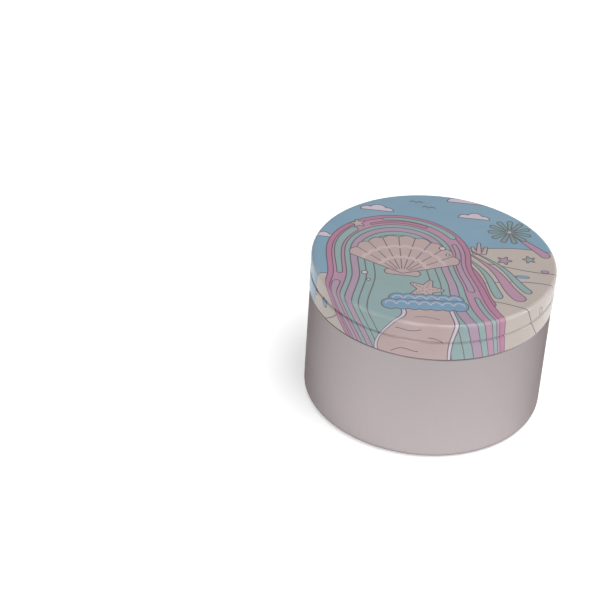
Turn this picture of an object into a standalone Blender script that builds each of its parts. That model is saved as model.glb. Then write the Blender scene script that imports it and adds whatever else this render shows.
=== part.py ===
"""Round slip-lid candle tin: a seamless drawn cup and a slip lid, modelled as two turned shells.

Metres, +Z up. The origin is on the tin's axis, at the plane that the tin stands on.
"""

import math

import bmesh
import bpy
from mathutils import Vector

# Driving dimensions
OUTER_RADIUS = 0.0385           # outside of the lid's skirt
TOTAL_HEIGHT = 0.0500           # standing plane to the lid's flat top
SHEET = 0.0003                  # thickness of the drawn sheet

# Lid
LID_HEIGHT = 0.0124             # top face to the bottom of the hem
LID_EDGE_RADIUS = 0.0012        # rounding between the top face and the skirt, outside
BEAD_DROP = 0.0062              # top face to the middle of the bead in the skirt
BEAD_WIDTH = 0.0014
BEAD_DEPTH = 0.00045
HEM_RADIUS = 0.00045            # outside radius of the hem rolled into the skirt's edge
HEM_SWEEP = 250                 # degrees that the hem is rolled round

# Cup
WALL_INSET = 0.0002             # how far the cup's wall lies inside the lid's skirt
BASE_CORNER_RADIUS = 0.0023     # rounding between the wall and the base, outside
STEP_OUTER_RADIUS = 0.0325      # inner edge of the standing ring
STEP_INNER_RADIUS = 0.0293      # outer edge of the raised base panel
PANEL_RISE = 0.0009             # how far the base panel is raised above the standing plane
SHOULDER_RADIUS = 0.0004        # rounding between the wall and the shoulder that the lid comes down to
NECK_ROOT_RADIUS = 0.0008       # rounding between the shoulder and the neck, outside
RIM_RADIUS = 0.00065            # outside radius of the rim rolled outwards at the mouth
RIM_SWEEP = 285                 # degrees that the rim is rolled round

# Clearances between the closed pieces
SEAT_GAP = 0.0003               # lid's underside to the rim
HEM_GAP = 0.0003                # hem to the shoulder
SLIDE_CLEARANCE = 0.0003        # rim to the narrowest part of the lid's inside

# Facets
TURN_STEPS = 64
ARC_STEP = 30                   # largest turn between two points of an arc, in degrees
BEAD_STEPS = 6
MERGE_DISTANCE = 0.00001

LID_BOTTOM = TOTAL_HEIGHT - LID_HEIGHT
WALL_RADIUS = OUTER_RADIUS - WALL_INSET
HEM_INNER_RADIUS = OUTER_RADIUS - 2 * HEM_RADIUS
RIM_OUTER_RADIUS = HEM_INNER_RADIUS - SLIDE_CLEARANCE
NECK_INNER_RADIUS = RIM_OUTER_RADIUS - 2 * RIM_RADIUS
NECK_RADIUS = NECK_INNER_RADIUS + SHEET
RIM_TOP = TOTAL_HEIGHT - SHEET - SEAT_GAP
SHOULDER_TOP = LID_BOTTOM - HEM_GAP


def arc(centre, radius, start, end):
    """Points on an arc about centre, from angle start to angle end, in degrees."""
    count = math.ceil(abs(end - start) / ARC_STEP)
    angles = [math.radians(start + (end - start) * i / count) for i in range(count + 1)]
    return [(centre[0] + radius * math.cos(a), centre[1] + radius * math.sin(a)) for a in angles]


def bead(radius, middle, depth):
    """A shallow groove pressed into a wall, from its top edge to its bottom edge."""
    turns = [i / BEAD_STEPS - 0.5 for i in range(BEAD_STEPS + 1)]
    return [
        (radius - depth * (1 + math.cos(2 * math.pi * turn)) / 2, middle - turn * BEAD_WIDTH)
        for turn in turns
    ]


def lid_outline():
    """Half section of the lid: top, down the outside, round the hem, up the inside and underside."""
    inner_radius = OUTER_RADIUS - SHEET
    bead_middle = TOTAL_HEIGHT - BEAD_DROP
    edge_centre = (OUTER_RADIUS - LID_EDGE_RADIUS, TOTAL_HEIGHT - LID_EDGE_RADIUS)
    hem_centre = (OUTER_RADIUS - HEM_RADIUS, LID_BOTTOM + HEM_RADIUS)

    points = [(0, TOTAL_HEIGHT)]
    points += arc(edge_centre, LID_EDGE_RADIUS, 90, 0)
    points += bead(OUTER_RADIUS, bead_middle, BEAD_DEPTH)
    points += arc(hem_centre, HEM_RADIUS, 0, -HEM_SWEEP)
    points += arc(hem_centre, HEM_RADIUS - SHEET, -HEM_SWEEP, 0)
    points += reversed(bead(inner_radius, bead_middle, BEAD_DEPTH))
    points += arc(edge_centre, LID_EDGE_RADIUS - SHEET, 0, 90)
    points += [(0, TOTAL_HEIGHT - SHEET)]
    return points


def cup_outline():
    """Half section of the cup: floor, up the inside, round the rim, down the outside and underside."""
    rim_centre = (RIM_OUTER_RADIUS - RIM_RADIUS, RIM_TOP - RIM_RADIUS)
    neck_root = (NECK_RADIUS + NECK_ROOT_RADIUS, SHOULDER_TOP + NECK_ROOT_RADIUS)
    shoulder = (WALL_RADIUS - SHOULDER_RADIUS, SHOULDER_TOP - SHOULDER_RADIUS)
    base_corner = (WALL_RADIUS - BASE_CORNER_RADIUS, BASE_CORNER_RADIUS)

    points = [(0, PANEL_RISE + SHEET), (STEP_INNER_RADIUS, PANEL_RISE + SHEET)]
    points += [(STEP_OUTER_RADIUS, SHEET)]
    points += arc(base_corner, BASE_CORNER_RADIUS - SHEET, -90, 0)
    points += arc(shoulder, SHOULDER_RADIUS - SHEET, 0, 90)
    points += arc(neck_root, NECK_ROOT_RADIUS + SHEET, 270, 180)
    points += arc(rim_centre, RIM_RADIUS, 180, 180 - RIM_SWEEP)
    points += arc(rim_centre, RIM_RADIUS - SHEET, 180 - RIM_SWEEP, 180)
    points += arc(neck_root, NECK_ROOT_RADIUS, 180, 270)
    points += arc(shoulder, SHOULDER_RADIUS, 90, 0)
    points += arc(base_corner, BASE_CORNER_RADIUS, 0, -90)
    points += [(STEP_OUTER_RADIUS, 0), (STEP_INNER_RADIUS, PANEL_RISE), (0, PANEL_RISE)]
    return points


def turned(name, outline, collection):
    """An object made by turning a half section, given as (radius, height) points, about Z."""
    profile = bmesh.new()
    corners = [profile.verts.new(Vector((radius, 0, height))) for radius, height in outline]
    for first, second in zip(corners, corners[1:]):
        profile.edges.new((first, second))
    mesh = bpy.data.meshes.new(name)
    profile.to_mesh(mesh)
    profile.free()

    piece = bpy.data.objects.new(name, mesh)
    collection.objects.link(piece)
    turn = piece.modifiers.new("Turn", "SCREW")
    turn.axis = "Z"
    turn.angle = 2 * math.pi
    turn.steps = TURN_STEPS
    turn.render_steps = TURN_STEPS
    turn.use_merge_vertices = True
    turn.merge_threshold = MERGE_DISTANCE
    turn.use_smooth_shade = True
    piece.modifiers.new("Flat panels stay flat", "WEIGHTED_NORMAL")
    return piece


def metal(name, colour, metallic, roughness):
    """A Principled material."""
    material = bpy.data.materials.new(name)
    material.use_nodes = True
    shader = material.node_tree.nodes["Principled BSDF"]
    shader.inputs["Base Color"].default_value = (*colour, 1)
    shader.inputs["Metallic"].default_value = metallic
    shader.inputs["Roughness"].default_value = roughness
    return material


def main():
    for old in list(bpy.data.objects):
        bpy.data.objects.remove(old)

    collection = bpy.data.collections.new("candle_tin")
    bpy.context.scene.collection.children.link(collection)

    cup = turned("tin_body", cup_outline(), collection)
    cup.data.materials.append(metal("satin_tinplate", (0.62, 0.60, 0.60), 1.0, 0.38))

    lid = turned("lid", lid_outline(), collection)
    lid.data.materials.append(metal("printed_tinplate", (0.34, 0.50, 0.60), 0.2, 0.35))


main()
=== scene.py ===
import math

import bmesh
import bpy
from mathutils import Color, Matrix, Vector


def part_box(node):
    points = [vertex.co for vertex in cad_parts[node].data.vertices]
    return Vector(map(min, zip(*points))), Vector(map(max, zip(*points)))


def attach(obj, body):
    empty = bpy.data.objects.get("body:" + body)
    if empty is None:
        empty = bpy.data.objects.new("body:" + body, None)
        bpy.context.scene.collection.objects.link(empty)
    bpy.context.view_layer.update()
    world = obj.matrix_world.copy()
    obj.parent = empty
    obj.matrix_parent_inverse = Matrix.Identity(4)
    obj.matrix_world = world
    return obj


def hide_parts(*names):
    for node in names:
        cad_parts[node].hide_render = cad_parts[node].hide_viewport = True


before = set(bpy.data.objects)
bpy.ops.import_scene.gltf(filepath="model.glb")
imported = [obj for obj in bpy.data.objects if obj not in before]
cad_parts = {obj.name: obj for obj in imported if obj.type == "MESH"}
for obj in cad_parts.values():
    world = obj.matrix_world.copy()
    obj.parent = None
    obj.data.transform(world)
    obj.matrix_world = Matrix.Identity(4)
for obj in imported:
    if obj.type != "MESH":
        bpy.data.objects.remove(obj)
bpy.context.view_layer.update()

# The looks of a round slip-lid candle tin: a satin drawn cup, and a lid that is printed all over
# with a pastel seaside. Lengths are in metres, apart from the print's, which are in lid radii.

lid_low, lid_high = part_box("lid")
cup_low, cup_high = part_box("tin_body")

# ---------------------------------------------------------------------------------------------
# Sizes. The outer ones come from the frame, and the fine ones repeat the part's own.
# ---------------------------------------------------------------------------------------------
LID_RADIUS = lid_high.x
LID_TOP = lid_high.z
LID_BOTTOM = lid_low.z
WALL_RADIUS = cup_high.x
RIM_TOP = cup_high.z

SHEET = 0.0003                  # thickness of the drawn sheet
LID_EDGE_RADIUS = 0.0012        # rounding between the top face and the skirt, outside
LID_DISH = 0.00006              # how far the middle of the lid's top lies below its edge
BEAD_DROP = 0.0062              # top face to the middle of the bead in the skirt
BEAD_WIDTH = 0.0014
BEAD_DEPTH = 0.00045
HEM_RADIUS = 0.00045            # outside radius of the hem rolled into the skirt's edge
HEM_SWEEP = 250                 # degrees that the hem is rolled round

BASE_CORNER_RADIUS = 0.0023     # rounding between the wall and the base, outside
STEP_OUTER_RADIUS = 0.0325      # inner edge of the standing ring
STEP_INNER_RADIUS = 0.0293      # outer edge of the raised base panel
PANEL_RISE = 0.0009             # how far the base panel is raised above the standing plane
SHOULDER_RADIUS = 0.00035       # rounding between the wall and the shoulder, outside
NECK_ROOT_RADIUS = 0.0008       # rounding between the shoulder and the neck, outside
RIM_RADIUS = 0.00065            # outside radius of the rim rolled outwards at the mouth
RIM_SWEEP = 285                 # degrees that the rim is rolled round
HEM_GAP = 0.0001                # a closed lid's hem all but rests on the shoulder
SLIDE_CLEARANCE = 0.0003        # rim to the narrowest part of the lid's inside

RIM_OUTER_RADIUS = LID_RADIUS - 2 * HEM_RADIUS - SLIDE_CLEARANCE
NECK_INNER_RADIUS = RIM_OUTER_RADIUS - 2 * RIM_RADIUS
NECK_RADIUS = NECK_INNER_RADIUS + SHEET
SHOULDER_TOP = LID_BOTTOM - HEM_GAP

TURN_STEPS = 240
ARC_STEP = 9                    # largest turn between two points of an arc, in degrees
BEAD_STEPS = 12
STEP_STEPS = 10                 # facets down the step in the base
DISH_STEPS = 8
FLAT_MARGIN = 0.0004            # extra rings this far from where a flat or a wall meets an arc


# ---------------------------------------------------------------------------------------------
# Turned surfaces
# ---------------------------------------------------------------------------------------------
def arc(centre, radius, start, end):
    """Points on an arc about centre, from angle start to angle end, in degrees."""
    count = math.ceil(abs(end - start) / ARC_STEP)
    angles = [math.radians(start + (end - start) * i / count) for i in range(count + 1)]
    return [(centre[0] + radius * math.cos(a), centre[1] + radius * math.sin(a)) for a in angles]


def straight(start, end):
    """Two points near the ends of a straight run, which keep the shading flat between them."""
    start, end = Vector(start), Vector(end)
    run = (end - start).length
    if run < 3 * FLAT_MARGIN:
        return []
    share = FLAT_MARGIN / run
    return [tuple(start.lerp(end, share)), tuple(start.lerp(end, 1 - share))]


def joined(*runs):
    """Runs of points joined into one outline, with straight stretches between them."""
    outline = list(runs[0])
    for run in runs[1:]:
        run = list(run)
        outline += straight(outline[-1], run[0])
        outline += run
    return outline


def bead(radius):
    """The shallow groove pressed into the skirt, from its top edge to its bottom edge."""
    middle = LID_TOP - BEAD_DROP
    turns = [i / BEAD_STEPS - 0.5 for i in range(BEAD_STEPS + 1)]
    return [
        (radius - BEAD_DEPTH * (1 + math.cos(2 * math.pi * turn)) / 2, middle - turn * BEAD_WIDTH)
        for turn in turns
    ]


def dished_top(drop):
    """The lid's top from its middle outwards, a very shallow dish, lowered by drop."""
    flat_radius = LID_RADIUS - LID_EDGE_RADIUS
    shares = [i / DISH_STEPS for i in range(DISH_STEPS)]
    return [(flat_radius * s, LID_TOP - drop - LID_DISH * (1 - s * s) ** 2) for s in shares]


def lid_outlines():
    """(printed outside, bare inside) of the lid's sheet, each a run of (radius, height) points."""
    edge = (LID_RADIUS - LID_EDGE_RADIUS, LID_TOP - LID_EDGE_RADIUS)
    hem = (LID_RADIUS - HEM_RADIUS, LID_BOTTOM + HEM_RADIUS)
    outside = joined(
        dished_top(0),
        arc(edge, LID_EDGE_RADIUS, 90, 0),
        bead(LID_RADIUS),
        arc(hem, HEM_RADIUS, 0, -HEM_SWEEP),
    )
    inside = joined(
        arc(hem, HEM_RADIUS - SHEET, -HEM_SWEEP, 0),
        reversed(bead(LID_RADIUS - SHEET)),
        arc(edge, LID_EDGE_RADIUS - SHEET, 0, 90),
        reversed(dished_top(SHEET)),
    )
    return outside, inside


def panel_step(height):
    """The base from its raised panel out to the standing ring, in one smooth step."""
    run = STEP_OUTER_RADIUS - STEP_INNER_RADIUS
    shares = [i / STEP_STEPS for i in range(STEP_STEPS + 1)]
    return [
        (STEP_INNER_RADIUS + run * s, height + PANEL_RISE * (1 + math.cos(math.pi * s)) / 2)
        for s in shares
    ]


def cup_outlines():
    """(inside, outside, underside) of the cup's sheet, each a run of (radius, height) points."""
    rim = (RIM_OUTER_RADIUS - RIM_RADIUS, RIM_TOP - RIM_RADIUS)
    neck_root = (NECK_RADIUS + NECK_ROOT_RADIUS, SHOULDER_TOP + NECK_ROOT_RADIUS)
    shoulder = (WALL_RADIUS - SHOULDER_RADIUS, SHOULDER_TOP - SHOULDER_RADIUS)
    corner = (WALL_RADIUS - BASE_CORNER_RADIUS, BASE_CORNER_RADIUS)
    inside = joined(
        [(0, PANEL_RISE + SHEET)],
        panel_step(SHEET),
        arc(corner, BASE_CORNER_RADIUS - SHEET, -90, 0),
        arc(shoulder, SHOULDER_RADIUS - SHEET, 0, 90),
        arc(neck_root, NECK_ROOT_RADIUS + SHEET, 270, 180),
        arc(rim, RIM_RADIUS, 180, 180 - RIM_SWEEP),
    )
    outside = joined(
        arc(rim, RIM_RADIUS - SHEET, 180 - RIM_SWEEP, 180),
        arc(neck_root, NECK_ROOT_RADIUS, 180, 270),
        arc(shoulder, SHOULDER_RADIUS, 90, 0),
        arc(corner, BASE_CORNER_RADIUS, 0, -90),
    )
    underside = joined([outside.pop()], reversed(panel_step(0)), [(0, PANEL_RISE)])
    return inside, outside, underside


def turned(name, outlines, materials):
    """A closed shell turned from outlines that follow each other, one material for each outline."""
    shape = bmesh.new()
    rings = []
    slots = []
    for slot, outline in enumerate(outlines):
        for radius, height in outline:
            count = TURN_STEPS if radius > 0 else 1
            angles = [2 * math.pi * i / TURN_STEPS for i in range(count)]
            points = [(radius * math.cos(a), radius * math.sin(a), height) for a in angles]
            rings.append([shape.verts.new(point) for point in points])
            slots.append(slot)
    for upper, lower, slot in zip(rings, rings[1:], slots[1:]):
        for i in range(TURN_STEPS):
            j = (i + 1) % TURN_STEPS
            sides = [(upper, i), (lower, i), (lower, j), (upper, j)]
            corners = [ring[k % len(ring)] for ring, k in sides]
            face = shape.faces.new(list(dict.fromkeys(corners)))
            face.material_index = slot
            face.smooth = True
    bmesh.ops.recalc_face_normals(shape, faces=shape.faces)
    mesh = bpy.data.meshes.new(name)
    shape.to_mesh(mesh)
    shape.free()
    for material in materials:
        mesh.materials.append(material)
    piece = bpy.data.objects.new(name, mesh)
    bpy.context.scene.collection.objects.link(piece)
    return piece


# ---------------------------------------------------------------------------------------------
# Arithmetic on shader values: each operation adds one node to the material's tree
# ---------------------------------------------------------------------------------------------
class Value:
    """A number that changes over the surface."""

    def __init__(self, socket):
        self.socket = socket
        self.tree = socket.id_data

    def __add__(self, other):
        return calculate("ADD", self, other)

    def __radd__(self, other):
        return calculate("ADD", other, self)

    def __sub__(self, other):
        return calculate("SUBTRACT", self, other)

    def __rsub__(self, other):
        return calculate("SUBTRACT", other, self)

    def __mul__(self, other):
        return calculate("MULTIPLY", self, other)

    def __rmul__(self, other):
        return calculate("MULTIPLY", other, self)

    def __truediv__(self, other):
        return calculate("DIVIDE", self, other)

    def __neg__(self):
        return calculate("MULTIPLY", self, -1)

    def __abs__(self):
        return calculate("ABSOLUTE", self)


def feed(socket, term):
    """Sets a socket to a number or a colour, or links it to a Value."""
    if isinstance(term, Value):
        socket.id_data.links.new(term.socket, socket)
    else:
        socket.default_value = term


def calculate(operation, *terms):
    tree = next(term.tree for term in terms if isinstance(term, Value))
    node = tree.nodes.new("ShaderNodeMath")
    node.operation = operation
    for socket, term in zip(node.inputs, terms):
        feed(socket, term)
    return Value(node.outputs[0])


def sine(value):
    return calculate("SINE", value)


def cosine(value):
    return calculate("COSINE", value)


def lowest(first, *others):
    for other in others:
        first = calculate("MINIMUM", first, other)
    return first


def highest(first, *others):
    for other in others:
        first = calculate("MAXIMUM", first, other)
    return first


def clamped(value, low, high):
    return highest(lowest(value, high), low)


def length(x, y):
    return calculate("SQRT", calculate("MULTIPLY_ADD", x, x, y * y))


def bearing(x, y):
    """The angle from the y direction towards x, in radians."""
    return calculate("ARCTAN2", x, y)


def wave(along, middle, swing, pace, start=0.0):
    """A sine wave of height swing about middle, with pace in radians for each unit along."""
    return middle + swing * sine(along * pace - start)


def smooth(value, start, end):
    """Rises smoothly from 0 at start to 1 at end."""
    node = value.tree.nodes.new("ShaderNodeMapRange")
    node.interpolation_type = "SMOOTHSTEP"
    for name, term in (("Value", value), ("From Min", start), ("From Max", end)):
        feed(node.inputs[name], term)
    return Value(node.outputs["Result"])


def ramp(value, start, end, low, high):
    """Goes in a straight line from low at start to high at end, and stays there."""
    node = value.tree.nodes.new("ShaderNodeMapRange")
    terms = {"Value": value, "From Min": start, "From Max": end, "To Min": low, "To Max": high}
    for name, term in terms.items():
        feed(node.inputs[name], term)
    return Value(node.outputs["Result"])


# a Mix node has sockets of the same names for each kind of data, and these are the colour ones
MIX_FIRST_COLOUR = 6
MIX_SECOND_COLOUR = 7
MIX_RESULT_COLOUR = 2


def blended(share, first, second):
    """The colour first where share is 0 and second where it is 1."""
    node = share.tree.nodes.new("ShaderNodeMix")
    node.data_type = "RGBA"
    feed(node.inputs["Factor"], share)
    feed(node.inputs[MIX_FIRST_COLOUR], first)
    feed(node.inputs[MIX_SECOND_COLOUR], second)
    return Value(node.outputs[MIX_RESULT_COLOUR])


def scaled(colour, factor):
    node = factor.tree.nodes.new("ShaderNodeVectorMath")
    node.operation = "SCALE"
    feed(node.inputs[0], colour)
    feed(node.inputs["Scale"], factor)
    return Value(node.outputs[0])


NOISE_LOW = 0.3
NOISE_HIGH = 0.7


def noise(where, scale, detail, roughness=0.5):
    """Smooth noise, mostly between NOISE_LOW and NOISE_HIGH, with scale waves for each unit of where."""
    node = where.tree.nodes.new("ShaderNodeTexNoise")
    feed(node.inputs["Vector"], where)
    node.inputs["Scale"].default_value = scale
    node.inputs["Detail"].default_value = detail
    node.inputs["Roughness"].default_value = roughness
    return Value(node.outputs["Fac"])


def vector(x, y, z):
    node = x.tree.nodes.new("ShaderNodeCombineXYZ")
    for socket, term in zip(node.inputs, (x, y, z)):
        feed(socket, term)
    return Value(node.outputs[0])


def position(tree):
    """(point, x, y, z) of the surface in the object's own space, in metres."""
    point = Value(tree.nodes.new("ShaderNodeTexCoord").outputs["Object"])
    split = tree.nodes.new("ShaderNodeSeparateXYZ")
    feed(split.inputs[0], point)
    return (point, *[Value(socket) for socket in split.outputs])


def ink(red, green, blue):
    """A display colour, 0 to 255, as the linear colour that a shader takes."""
    linear = Color((red / 255, green / 255, blue / 255)).from_srgb_to_scene_linear()
    return (*linear, 1)


# ---------------------------------------------------------------------------------------------
# The print: flat shapes with thin outlines, drawn on the sheet before it was pressed into a lid.
# Its coordinates are in lid radii from the lid's middle: across to the right, up to the back.
# Beyond 1 they run down the skirt.
# ---------------------------------------------------------------------------------------------
SKY = ink(123, 152, 171)
SKY_HIGH = ink(127, 154, 171)
CLOUD = ink(191, 180, 191)
SAND = ink(176, 166, 159)
PINK = ink(169, 134, 154)
ROSE = ink(169, 119, 144)
LILAC = ink(162, 141, 159)
MINT = ink(137, 158, 158)
PEACH = ink(175, 155, 154)
SHELL_BAND = ink(183, 167, 165)
FOAM = ink(118, 147, 170)
LEAF = ink(121, 143, 142)
OUTLINE = ink(102, 96, 102)
# primer colour, also used as a painted highlight on the rounded top edge
PRIMER_AND_HIGHLIGHT = ink(205, 200, 203)

HALF_LINE = 0.00475             # half the width of an outline
THIN_HALF_LINE = 0.0038         # and of a line inside a shape
INK_EDGE = 0.0016               # softness of an ink edge


class Picture:
    """A picture built up shape by shape. A shape is a distance, below 0 inside it."""

    def __init__(self, colour):
        self.colour = colour

    def fill(self, distance, colour):
        self.colour = blended(ramp(distance, INK_EDGE, -INK_EDGE, 0.0, 1.0), self.colour, colour)

    def line(self, distance, half_width=HALF_LINE, colour=OUTLINE, within=None):
        """A line where distance is 0. It is drawn only inside the shape within, if there is one."""
        stroke = abs(distance) - half_width
        self.fill(stroke if within is None else highest(stroke, within), colour)

    def shape(self, distance, colour):
        self.fill(distance, colour)
        self.line(distance)


def disc(x, y, middle, radius):
    return length(x - middle[0], y - middle[1]) - radius


def bar(x, y, start, end, start_radius, end_radius):
    """A straight bar with round ends, whose radius changes from start to end."""
    run = (end[0] - start[0], end[1] - start[1])
    from_x = x - start[0]
    from_y = y - start[1]
    squared = run[0] ** 2 + run[1] ** 2
    share = clamped((from_x * run[0] + from_y * run[1]) / squared, 0.0, 1.0)
    gap = length(from_x - share * run[0], from_y - share * run[1])
    return gap - share * (end_radius - start_radius) - start_radius


def sectors(x, y, middle, count, turn=0.0):
    """(across, out, reach) from the middle of the nearest of count equal sectors round middle."""
    span = 2 * math.pi / count
    from_x = x - middle[0]
    from_y = y - middle[1]
    reach = length(from_x, from_y)
    fold = calculate("WRAP", bearing(from_x, from_y) - turn, span / 2, -span / 2)
    return sine(fold) * reach, cosine(fold) * reach, reach


# middle of the base, width
CLOUDS = [
    ((-0.52, 0.64), 0.32), ((0.30, 0.66), 0.30), ((0.22, 0.90), 0.36), ((-0.93, 0.14), 0.24),
    ((-0.28, 1.07), 0.34), ((0.78, 0.86), 0.32), ((-0.90, 0.72), 0.34), ((1.12, 0.45), 0.26),
]
# across, up and radius of each hump, in cloud widths
CLOUD_HUMPS = [(-0.27, 0.02, 0.17), (0.02, 0.08, 0.22), (0.28, 0.02, 0.15)]
GULLS = [(-0.20, 0.83), (-0.09, 0.76)]
GULL_HALF_SPAN = 0.058
GULL_WING_HEIGHT = 0.022
GULL_WING_PACE = 52
GULL_HALF_LINE = 0.00665


def cloud(picture, x, y, middle, width):
    """A low cloud: round humps on a flat base."""
    humps = [
        disc(x, y, (middle[0] + across * width, middle[1] + up * width), radius * width)
        for across, up, radius in CLOUD_HUMPS
    ]
    picture.shape(highest(lowest(*humps), middle[1] - y), CLOUD)


def gull(picture, x, y, middle):
    """A far gull, drawn as two arched wings."""
    from_x = x - middle[0]
    wings = middle[1] + abs(sine(from_x * GULL_WING_PACE)) * GULL_WING_HEIGHT
    picture.line(y - wings, GULL_HALF_LINE, within=abs(from_x) - GULL_HALF_SPAN)


def sky(picture, x, y):
    for middle, width in CLOUDS:
        cloud(picture, x, y, middle, width)
    for middle in GULLS:
        gull(picture, x, y, middle)


# waves: height of the middle, swing, pace, start
SHORE_RIGHT = (0.20, 0.055, 4.2, 1.6)
SHORE_LEFT = (-0.46, 0.05, 7, -1)
DUNES_RIGHT = [(-0.05, 0.035, 5.5, 0.2), (-0.30, 0.06, 4.6, 2.2), (-0.62, 0.05, 6, 1.2)]
DUNE_LEFT = (-0.78, 0.05, 9)
DUNES_START = 0.42              # the right dunes' lines begin here
DUNE_END = -0.80                # and the left one's ends here
# middle, half width, half height, colour of the pebbles and puddles on the sand
FINDS = [
    ((0.72, -0.17), 0.055, 0.022, FOAM), ((0.90, -0.06), 0.030, 0.020, PINK),
    ((-0.98, -0.66), 0.035, 0.045, FOAM), ((0.98, -0.52), 0.040, 0.026, PEACH),
    ((-1.08, -0.50), 0.026, 0.020, PINK),
]


def shore(picture, x, y):
    """Sand to the right and to the lower left, with dune lines and small finds on it."""
    left = wave(x, *SHORE_LEFT)
    is_right = calculate("GREATER_THAN", x, 0.0)
    picture.shape(y - left - is_right * (wave(x, *SHORE_RIGHT) - left), SAND)
    for dune in DUNES_RIGHT:
        picture.line(y - wave(x, *dune), within=DUNES_START - x)
    picture.line(y - wave(x, *DUNE_LEFT), within=x - DUNE_END)
    for middle, half_width, half_height, colour in FINDS:
        flatness = half_width / half_height
        picture.shape(length(x - middle[0], (y - middle[1]) * flatness) - half_width, colour)
    starfish(picture, x, y, (0.57, 0.05), 0.052, 0.3, LILAC)
    starfish(picture, x, y, (0.77, 0.10), 0.045, 0.9, MINT)


# root, tip
CORAL_STEMS = [
    ((0.36, 0.13), (0.355, 0.27)), ((0.40, 0.13), (0.415, 0.22)), ((0.33, 0.12), (0.305, 0.20)),
]
CORAL_ROOT_RADIUS = 0.022
CORAL_TIP_RADIUS = 0.013


def coral(picture, x, y):
    """A small group of standing stems on the skyline."""
    stems = [bar(x, y, root, tip, CORAL_ROOT_RADIUS, CORAL_TIP_RADIUS) for root, tip in CORAL_STEMS]
    picture.shape(lowest(*stems), PEACH)


PALM_CROWN = (0.60, 0.50)
PALM_LEAVES = 11
PALM_LEAF_START = 0.045         # where the round ends of a leaf are centred, out from the crown
PALM_LEAF_END = 0.155
PALM_LEAF_WIDENING = 0.11


def palm(picture, x, y):
    """A pink trunk under a star of leaves that widen towards their round ends."""
    picture.shape(bar(x, y, (0.64, 0.46), (0.90, 0.19), 0.014, 0.040), PINK)
    across, out, reach = sectors(x, y, PALM_CROWN, PALM_LEAVES)
    half_width = 0.006 + PALM_LEAF_WIDENING * lowest(out, 0.16)
    picture.shape(length(across, out - clamped(out, PALM_LEAF_START, PALM_LEAF_END)) - half_width, LEAF)
    picture.shape(reach - 0.022, SAND)


ARCH = (-0.29, 0.0)             # middle of the rainbow's round top
ARCH_MIDDLE_RADIUS = 0.545      # distances along the rainbow are measured on this band
ARCH_BANDS = [(0.59, ROSE), (ARCH_MIDDLE_RADIUS, PINK), (0.44, MINT), (0.395, LILAC), (0.335, MINT)]
ARCH_RIPPLES = (0.28, 0.21)     # thin lines in the water inside the rainbow
ARCH_LEAN = 0.06                # how far its ends lean to the right, for each unit down
ARCH_SPREAD = 0.75              # how much wider apart its right-hand bands grow
# radius, start and end along the band (0 at the top, positive to the right), half width, colour
ARCH_STREAKS = [
    (0.495, -1.22, -0.50, 0.030, MINT), (0.535, -0.16, 0.50, 0.024, MINT),
    (0.485, -0.30, 0.22, 0.017, ROSE), (0.500, -1.95, -1.38, 0.026, LILAC),
    (0.488, 0.62, 1.30, 0.024, LILAC), (0.505, 1.42, 2.10, 0.027, MINT),
]


def rainbow(picture, x, y):
    """A pastel arch whose ends run down the sheet as waving bands, wider apart to the right."""
    depth = highest(ARCH[1] - y, 0.0)
    sway = wave(y, 0.0, 0.028, 6.5, -0.6) * lowest(depth * 2.5, 1.0)
    from_x = x - ARCH[0] + sway - ARCH_LEAN * depth
    spread = 1.0 + ARCH_SPREAD * depth * depth * smooth(from_x, -0.1, 0.25)
    across = from_x / spread
    up = highest(y - ARCH[1], 0.0)
    reach = length(across, up)
    for radius, colour in ARCH_BANDS:
        picture.shape((reach - radius) * spread, colour)
    for radius in ARCH_RIPPLES:
        picture.line((reach - radius) * spread)
    along = ARCH_MIDDLE_RADIUS * bearing(across, up) + depth * calculate("SIGN", across)
    for radius, start, end, half_width, colour in ARCH_STREAKS:
        past = along - clamped(along, start, end)
        taper = ramp(along, start, end, 0.75, 1.2)
        picture.shape(length((reach - radius) * spread, past) - half_width * taper, colour)


TONGUE_ROOT = (0.0, 0.45)
TONGUE_START = 0.42             # reach from the root at which a tongue begins
# angle from straight down in degrees, reach from the root, half width, colour
TONGUES = [
    (45.0, 1.13, 0.032, MINT), (39.0, 1.17, 0.050, PINK),
    (32.0, 1.08, 0.036, MINT), (26.0, 1.16, 0.050, ROSE),
]


def tongues(picture, x, y):
    """Round-ended runs of water that spread out from the rainbow's foot over the sand."""
    out_x = x - TONGUE_ROOT[0]
    out_y = TONGUE_ROOT[1] - y
    reach = length(out_x, out_y)
    turned_by = bearing(out_x, out_y) + wave(reach, 0.0, 0.04, 7.0)
    for angle, end, half_width, colour in TONGUES:
        across = (turned_by - math.radians(angle)) * reach
        along = reach - clamped(reach, TONGUE_START, end)
        width = half_width * smooth(reach, 0.3, end)
        picture.shape(length(across, along) - width, colour)


BANK_HALF_WIDTH = 0.17
BANK_TOP = -0.72
BANK_FOAM = 0.035               # width of the pale edge of foam
# height, left end and right end of the ripple lines on the bank
RIPPLES = [(-0.90, -0.10, 0.10), (-1.05, -0.26, -0.04), (-1.13, 0.02, 0.16), (-1.24, -0.34, -0.06)]
RIPPLE_HALF_LINE = 0.003325


def sandbank(picture, x, y):
    """A bank of sand with a pale edge of foam, which runs down over the front of the skirt."""
    left = -BANK_HALF_WIDTH - 0.30 * smooth(y, -0.82, -1.25) - wave(y, 0.0, 0.025, 15)
    right = BANK_HALF_WIDTH + 0.07 * smooth(y, -0.80, -1.20) + wave(y, 0.0, 0.022, 13, -1)
    bank = highest(left - x, x - right, y - BANK_TOP)
    picture.shape(bank - BANK_FOAM, CLOUD)
    picture.shape(bank, PEACH)
    for height, start, end in RIPPLES:
        ripple = y - wave(x, height, 0.014, 21, -5 * height)
        picture.line(ripple, RIPPLE_HALF_LINE, within=highest(start - x, x - end))


# in starfish radii
STARFISH_ARM_ROOT = 0.46        # half width of an arm at the starfish's middle
STARFISH_ARM_TAPER = 0.30       # how much of that it loses on the way out
STARFISH_DOT_STEP = 0.24
STARFISH_DOT_RADIUS = 0.045


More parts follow.
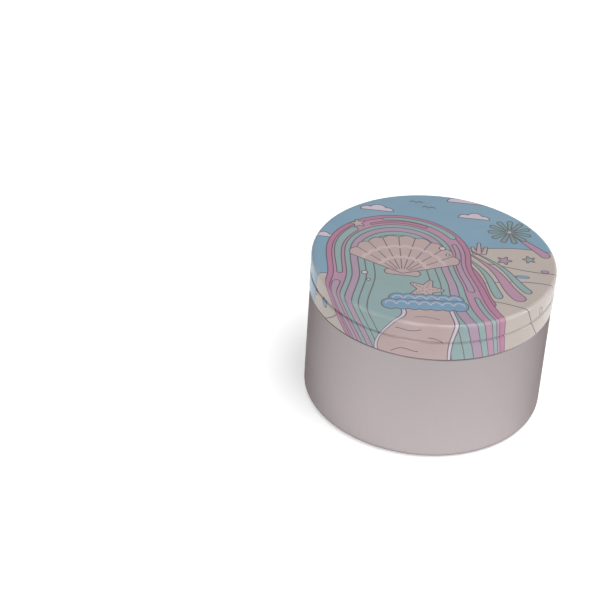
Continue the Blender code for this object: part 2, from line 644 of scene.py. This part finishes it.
def starfish(picture, x, y, middle, radius, turn, colour):
    """Five round-ended arms with a row of four dots along each."""
    across, out, reach = sectors(x, y, middle, 5, turn)
    half_width = radius * (STARFISH_ARM_ROOT - STARFISH_ARM_TAPER * lowest(out / radius, 1.0))
    picture.shape(length(across, out - clamped(out, 0.0, radius)) - half_width, colour)
    step = radius * STARFISH_DOT_STEP
    dot_out = out - clamped(calculate("ROUND", out / step), 1.0, 4.0) * step
    picture.fill(length(across, dot_out) - radius * STARFISH_DOT_RADIUS, OUTLINE)


SHELL_HINGE = (-0.24, -0.30)
SHELL_RIBS = 9
SHELL_HALF_ANGLE = math.radians(64)
SHELL_RADIUS = 0.55
SHELL_RIB_START = 0.07          # how far from the hinge the lines between the ribs begin
SHELL_BANDS = (0.24, 0.40)      # radii of its pale growth bands
SHELL_BAND_HALF_WIDTH = 0.018
SHELL_SCALLOP = 0.030           # how far each rib bulges past the rim


def shell(picture, x, y):
    """A scallop shell: a fan of ribs that spreads from a small hinge."""
    from_x = x - SHELL_HINGE[0]
    from_y = y - SHELL_HINGE[1]
    reach = length(from_x, from_y)
    turned_by = bearing(from_x, from_y)
    picture.shape(bar(from_x, from_y, (-0.105, 0.015), (0.105, 0.015), 0.040, 0.040), PEACH)
    span = 2 * SHELL_HALF_ANGLE / SHELL_RIBS
    fold = calculate("WRAP", turned_by, span / 2, -span / 2)
    scallop = SHELL_SCALLOP * cosine(fold * math.pi / span)
    rim = reach - SHELL_RADIUS + 0.05 * turned_by * turned_by - scallop
    fan = highest(rim, (abs(turned_by) - SHELL_HALF_ANGLE) * reach)
    picture.fill(fan, PEACH)
    between_ribs = (abs(fold) - span / 2) * reach
    picture.line(between_ribs, THIN_HALF_LINE, within=highest(fan, SHELL_RIB_START - reach))
    for radius in SHELL_BANDS:
        band = reach - radius + 0.03 * turned_by * turned_by - scallop * 0.6
        picture.line(band, SHELL_BAND_HALF_WIDTH, SHELL_BAND, within=fan + 0.012)
    picture.line(fan)


FOAM_PITCH = 0.09
FOAM_RADIUS = 0.072
FOAM_TILT = math.radians(6)
# left end, height and number of scallops of each row
FOAM_ROWS = [(-0.25, -0.665, 6), (-0.30, -0.750, 7)]


def foam(picture, x, y):
    """Two rows of overlapping round scallops, where the water meets the sandbank."""
    for start, height, count in FOAM_ROWS:
        from_x = x - start
        from_y = y - height
        along = from_x * math.cos(FOAM_TILT) + from_y * math.sin(FOAM_TILT)
        up = from_y * math.cos(FOAM_TILT) - from_x * math.sin(FOAM_TILT)
        place = clamped(calculate("ROUND", along / FOAM_PITCH), 0.0, count - 1.0) * FOAM_PITCH
        reach = length(along - place, up)
        picture.shape(reach - FOAM_RADIUS, FOAM)
        picture.line(reach - FOAM_RADIUS * 0.55, THIN_HALF_LINE, CLOUD, within=-up)


# middle, radius
BUBBLES = [
    ((0.06, 0.14), 0.026), ((0.11, 0.05), 0.016), ((-0.54, -0.34), 0.024), ((-0.50, -0.44), 0.015),
]


def bubbles(picture, x, y):
    for middle, radius in BUBBLES:
        picture.shape(disc(x, y, middle, radius), CLOUD)


def seaside(x, y):
    """The whole picture, from the back to the front."""
    picture = Picture(blended(smooth(y, -0.2, 1.3), SKY, SKY_HIGH))
    sky(picture, x, y)
    shore(picture, x, y)
    coral(picture, x, y)
    palm(picture, x, y)
    tongues(picture, x, y)
    rainbow(picture, x, y)
    sandbank(picture, x, y)
    starfish(picture, x, y, (-0.04, -0.50), 0.125, 0.25, PEACH)
    starfish(picture, x, y, (-0.66, 0.40), 0.055, 0.9, SAND)
    shell(picture, x, y)
    foam(picture, x, y)
    bubbles(picture, x, y)
    return picture.colour


# ---------------------------------------------------------------------------------------------
# Materials. The scales of their noise are in waves for each metre.
# ---------------------------------------------------------------------------------------------
def new_material(name):
    """(material, shader) of a plain Principled material."""
    material = bpy.data.materials.new(name)
    material.use_nodes = True
    return material, material.node_tree.nodes["Principled BSDF"]


def add_relief(shader, height, distance):
    """Fine relief from height, which is 0 to 1, over distance in metres."""
    relief = height.tree.nodes.new("ShaderNodeBump")
    relief.inputs["Distance"].default_value = distance
    feed(relief.inputs["Height"], height)
    feed(shader.inputs["Normal"], Value(relief.outputs["Normal"]))


INK_PATCHES = 90
INK_GRAIN = 9000
INK_UNEVENNESS = 0.045          # how far the ink's brightness swings to either side
# primer on the rounded top edge stands for ink stretched thin there and for a painted highlight along
# the edge
THINNED_INK_AND_HIGHLIGHT = (0.05, 0.28)      # least and most primer that shows through on the rounded top edge
VARNISH_PATCHES = 260
VARNISH_ROUGHNESS = (0.36, 0.46)
VARNISH_RIPPLE = 1400
PRINT_RELIEF = 0.000006
AXIS_RADIUS = 0.000001          # keeps the lid's middle from a division by zero


def edge_bend(radius, z):
    """1 on the lid's rounded top edge, and 0 on its flat top and its skirt."""
    start = LID_RADIUS - LID_EDGE_RADIUS
    out = smooth(radius, start, start + LID_EDGE_RADIUS * 0.6)
    return out * smooth(z, LID_TOP - LID_EDGE_RADIUS, LID_TOP - LID_EDGE_RADIUS * 0.4)


def printed_tinplate():
    """Opaque inks under a satin varnish, lightened towards the primer over the rounded top edge, as ink
    stretched thin there and as a painted highlight.
    """
    material, shader = new_material("printed_tinplate")
    point, x, y, z = position(material.node_tree)
    radius = length(x, y)
    along_sheet = (radius + highest(LID_TOP - z, 0.0)) / LID_RADIUS
    stretch = along_sheet / highest(radius, AXIS_RADIUS)
    colour = seaside(x * stretch, y * stretch)

    patches = noise(point, INK_PATCHES, 3.0)
    grain = noise(point, INK_GRAIN, 1.0)
    # painted highlight along the rounded top edge, partly ink stretched thin over the bend
    thinned_ink_and_highlight = edge_bend(radius, z) * ramp(patches, 0.35, 0.65, *THINNED_INK_AND_HIGHLIGHT)
    uneven = grain * 0.5 + patches * 0.5
    shade = ramp(uneven, 0.35, 0.65, 1 - INK_UNEVENNESS, 1 + INK_UNEVENNESS)
    feed(shader.inputs["Base Color"], scaled(blended(thinned_ink_and_highlight, colour, PRIMER_AND_HIGHLIGHT), shade))
    varnish = noise(point, VARNISH_PATCHES, 4.0)
    feed(shader.inputs["Roughness"], ramp(varnish, NOISE_LOW, NOISE_HIGH, *VARNISH_ROUGHNESS))
    shader.inputs["Specular IOR Level"].default_value = 0.15
    shader.inputs["Coat Weight"].default_value = 0.4
    shader.inputs["Coat Roughness"].default_value = 0.1
    add_relief(shader, noise(point, VARNISH_RIPPLE, 2.0) * 0.6 + grain * 0.4, PRINT_RELIEF)
    return material


# the darker and the lighter tone that a surface's grain swings between; the outer wall's pair is a
# darker copy of the sheet's, a painted shade on its reflection
SHADED_WALL_TONES = ((0.425, 0.382, 0.387, 1), (0.495, 0.445, 0.451, 1))
SHEET_TONES = ((0.57, 0.535, 0.54, 1), (0.67, 0.635, 0.64, 1))
# painted shade that darkens the wall towards the mouth
PAINTED_TOP_SHADE = (0.325, 0.292, 0.296, 1)
# painted shade in the seam under the lid's hem
SEAM_SHADE_COLOUR = (0.34, 0.306, 0.310, 1)
METAL_SCUFFED = (0.60, 0.565, 0.570, 1)
WALL_EDGE_TINT = (0.12, 0.11, 0.11, 1)   # the wall's reflection dims towards its outline
EVEN_EDGE_TINT = (1, 1, 1, 1)
METAL_PATCHES = 55
METAL_SPECKLE = 5200
METAL_SCUFFS = 800
METAL_ROUGHNESS = (0.44, 0.56)
METAL_RELIEF = 0.000008
# scales of the grain along x, y and z
DRAWN_GRAIN = (2600, 2600, 110)  # fine streaks drawn out up and down the wall
ROLLED_GRAIN = (4200, 160, 160)  # fine lines rolled straight across the flat sheet


def painted_seam_shade(z):
    """1 at the top of the shoulder, just under the lid's hem, where the seam gets a painted shade."""
    below = smooth(z, SHOULDER_TOP - 0.0006, SHOULDER_TOP - 0.0001)
    return below * smooth(z, SHOULDER_TOP + 0.0003, SHOULDER_TOP)


def touched(z):
    """1 on the standing ring and on the rim, which tables and the lid scuff."""
    ring = smooth(z, 0.0005, 0.0001)
    return highest(ring, smooth(z, RIM_TOP - 0.0007, RIM_TOP - 0.0001))


def satin_tinplate(name, grain_scales, tones, drawn=0.0, edge_tint=EVEN_EDGE_TINT):
    """Bare satin tinplate. drawn is how far a painted shade darkens it from the base up to the mouth."""
    material, shader = new_material(name)
    point, x, y, z = position(material.node_tree)
    stretched = vector(*[along * scale for along, scale in zip((x, y, z), grain_scales)])
    grain = noise(stretched, 1.0, 3.0, 0.6)
    patches = noise(point, METAL_PATCHES, 3.0)
    speckle = noise(point, METAL_SPECKLE, 1.0)
    tone = grain * 0.45 + patches * 0.35 + speckle * 0.2
    colour = blended(ramp(tone, NOISE_LOW, NOISE_HIGH, 0.0, 1.0), *tones)
    # painted shade: the colour darkens from the base up to the mouth
    colour = blended(ramp(z, 0.0, SHOULDER_TOP, 0.0, drawn), colour, PAINTED_TOP_SHADE)
    # painted shade darkens the seam under the lid's hem
    colour = blended(painted_seam_shade(z), colour, SEAM_SHADE_COLOUR)
    scuffs = smooth(noise(point, METAL_SCUFFS, 3.0), 0.50, 0.64) * touched(z)
    feed(shader.inputs["Base Color"], blended(scuffs * 0.5, colour, METAL_SCUFFED))
    roughness = ramp(grain * 0.5 + patches * 0.5, NOISE_LOW, NOISE_HIGH, *METAL_ROUGHNESS)
    feed(shader.inputs["Roughness"], roughness + scuffs * 0.1)
    shader.inputs["Metallic"].default_value = 1.0
    shader.inputs["Specular Tint"].default_value = edge_tint
    add_relief(shader, grain * 0.6 + speckle * 0.4, METAL_RELIEF)
    return material


# ---------------------------------------------------------------------------------------------
# Stage: floor, light and camera
# ---------------------------------------------------------------------------------------------
FLOOR_RADIUS = 4
FLOOR_DROP = 0.0001             # keeps the floor clear of the standing ring
FLOOR_GLOW = 0.35               # a lit table, which stays white and leaves a faint shadow


def floor():
    bpy.ops.mesh.primitive_circle_add(
        vertices=96, radius=FLOOR_RADIUS, fill_type="NGON", location=(0, 0, -FLOOR_DROP)
    )
    table = bpy.context.object
    table.name = "floor"
    material, shader = new_material("pale_floor")
    shader.inputs["Base Color"].default_value = (0.9, 0.9, 0.9, 1)
    shader.inputs["Roughness"].default_value = 0.9
    shader.inputs["Emission Color"].default_value = (1, 1, 1, 1)
    shader.inputs["Emission Strength"].default_value = FLOOR_GLOW
    table.data.materials.append(material)


def soft_light(name, place, size, power):
    """A rectangular lamp that faces the tin."""
    lamp = bpy.data.lights.new(name, "AREA")
    lamp.shape = "RECTANGLE"
    lamp.size, lamp.size_y = size
    lamp.energy = power
    light = bpy.data.objects.new(name, lamp)
    light.location = place
    aim = Vector((0, 0, LID_TOP / 2)) - Vector(place)
    light.rotation_mode = "QUATERNION"
    light.rotation_quaternion = aim.to_track_quat("-Z", "Y")
    bpy.context.scene.collection.objects.link(light)


ROOM_STRENGTH = 0.26
ROOM_BRIGHT_SIDE = (0.95, 0.05, 0.3)
ROOM_DARK_END = -0.4            # share of the way towards the bright side where the light starts
ROOM_BRIGHTEST = 2.4


def studio():
    """A soft room, brighter to the right, with a large lamp above and three small ones around."""
    world = bpy.data.worlds.new("studio")
    world.use_nodes = True
    tree = world.node_tree
    background = tree.nodes["Background"]
    background.inputs["Strength"].default_value = ROOM_STRENGTH
    across = tree.nodes.new("ShaderNodeVectorMath")
    across.operation = "DOT_PRODUCT"
    across.inputs[1].default_value = ROOM_BRIGHT_SIDE
    direction = tree.nodes.new("ShaderNodeTexCoord").outputs["Generated"]
    tree.links.new(direction, across.inputs[0])
    brightness = ramp(Value(across.outputs["Value"]), ROOM_DARK_END, 1.0, 0.0, ROOM_BRIGHTEST)
    feed(background.inputs["Color"], brightness)
    bpy.context.scene.world = world
    soft_light("key", (0.25, -0.25, 1.3), (0.8, 0.8), 11.5)
    soft_light("fill", (-0.25, -0.85, 0.9), (0.4, 0.4), 3.5)
    soft_light("right_strip", (1.1, 0.05, 0.3), (0.25, 0.5), 2.3)
    soft_light("left_strip", (-0.9, -0.75, 0.3), (0.25, 0.5), 1.3)


CAMERA_LENS = 112.6             # millimetres, on a 36 mm sensor
CAMERA_DISTANCE = 0.6025
CAMERA_ELEVATION = math.radians(34.06)
CAMERA_PAN = math.radians(3.93)
CAMERA_TILT = math.radians(0.27)
CAMERA_ROLL = math.radians(6.06)


def camera():
    """Looks down at the tin from the front, turned aside so that the tin stands off centre."""
    lens = bpy.data.cameras.new("camera")
    lens.lens = CAMERA_LENS
    lens.clip_start = 0.01
    view = bpy.data.objects.new("camera", lens)
    place = Vector((0, -math.cos(CAMERA_ELEVATION), math.sin(CAMERA_ELEVATION))) * CAMERA_DISTANCE
    place.z += LID_TOP / 2
    view.matrix_world = (
        Matrix.Translation(place)
        @ Matrix.Rotation(math.pi / 2 - CAMERA_ELEVATION, 4, "X")
        @ Matrix.Rotation(CAMERA_PAN, 4, "Y")
        @ Matrix.Rotation(CAMERA_TILT, 4, "X")
        @ Matrix.Rotation(CAMERA_ROLL, 4, "Z")
    )
    bpy.context.scene.collection.objects.link(view)
    bpy.context.scene.camera = view


# ---------------------------------------------------------------------------------------------
# The scene
# ---------------------------------------------------------------------------------------------
def stand_for(piece, node, body):
    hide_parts(node)
    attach(piece, body)


bpy.context.scene.view_settings.view_transform = "Standard"
floor()
studio()
camera()

inside_metal = satin_tinplate("satin_tinplate_inside", DRAWN_GRAIN, SHEET_TONES)
# the outer wall's darker tones and its darkening towards the mouth are painted shade
wall_metal = satin_tinplate("satin_tinplate_wall", DRAWN_GRAIN, SHADED_WALL_TONES, 0.5, WALL_EDGE_TINT)
flat_metal = satin_tinplate("satin_tinplate_flat", ROLLED_GRAIN, SHEET_TONES)
cup = turned("drawn_cup", cup_outlines(), [inside_metal, wall_metal, flat_metal])
stand_for(cup, "tin_body", "tin_body")
lid = turned("printed_lid", lid_outlines(), [printed_tinplate(), flat_metal])
stand_for(lid, "lid", "lid")
